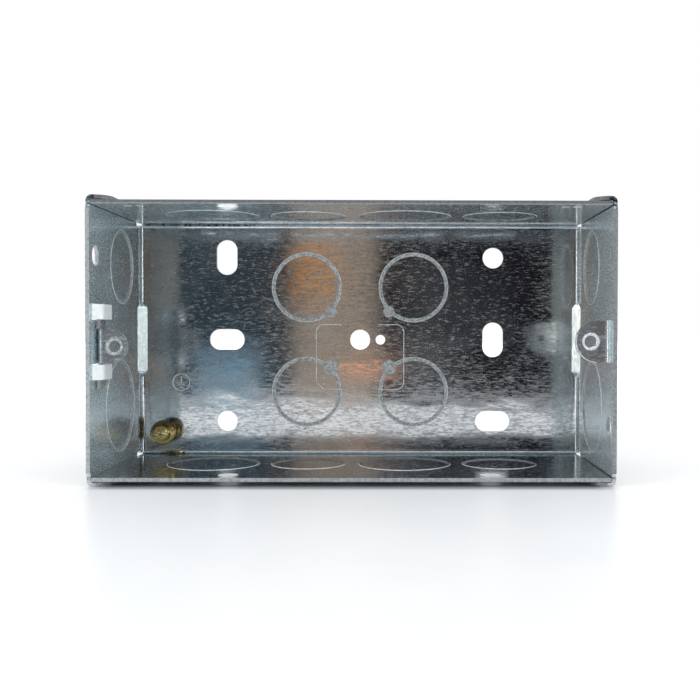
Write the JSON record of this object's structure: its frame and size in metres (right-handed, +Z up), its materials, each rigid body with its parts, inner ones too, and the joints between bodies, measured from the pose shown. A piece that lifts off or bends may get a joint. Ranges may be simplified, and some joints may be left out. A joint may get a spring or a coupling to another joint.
{
  "type": "metal back box",
  "caption": "Open flush-mounting metal box with knock-outs, fixing slots, a fixed and a sliding screw lug, corner tabs and a brass earth terminal.",
  "frame": {"origin": "on the surface that the box stands on, under the middle of its bounding box, as it stands on one long side on its corner tabs", "axes": "+X to the right along the length, +Y from the open front to the back plate, +Z up along the shorter side of the face"},
  "size_m": [0.1326, 0.0476, 0.0726],
  "materials": {
    "galvanised_sheet": "bright continuously galvanised steel with a fine rolled grain",
    "lug_steel": "bright zinc-plated steel",
    "post_brass": "turned brass, slightly dulled",
    "screw_brass": "turned brass"
  },
  "bodies": {
    "box": {"box_shell": "galvanised_sheet", "earth_terminal_post": "post_brass", "earth_terminal_screw": "screw_brass"},
    "sliding_lug": {"adjustable_lug": "lug_steel"}
  },
  "joints": [
    {"name": "lug_slide", "type": "slide", "parent": "box", "child": "sliding_lug", "axis": [0, 0, 1], "range_m": [0, 0.0023]}
  ]
}
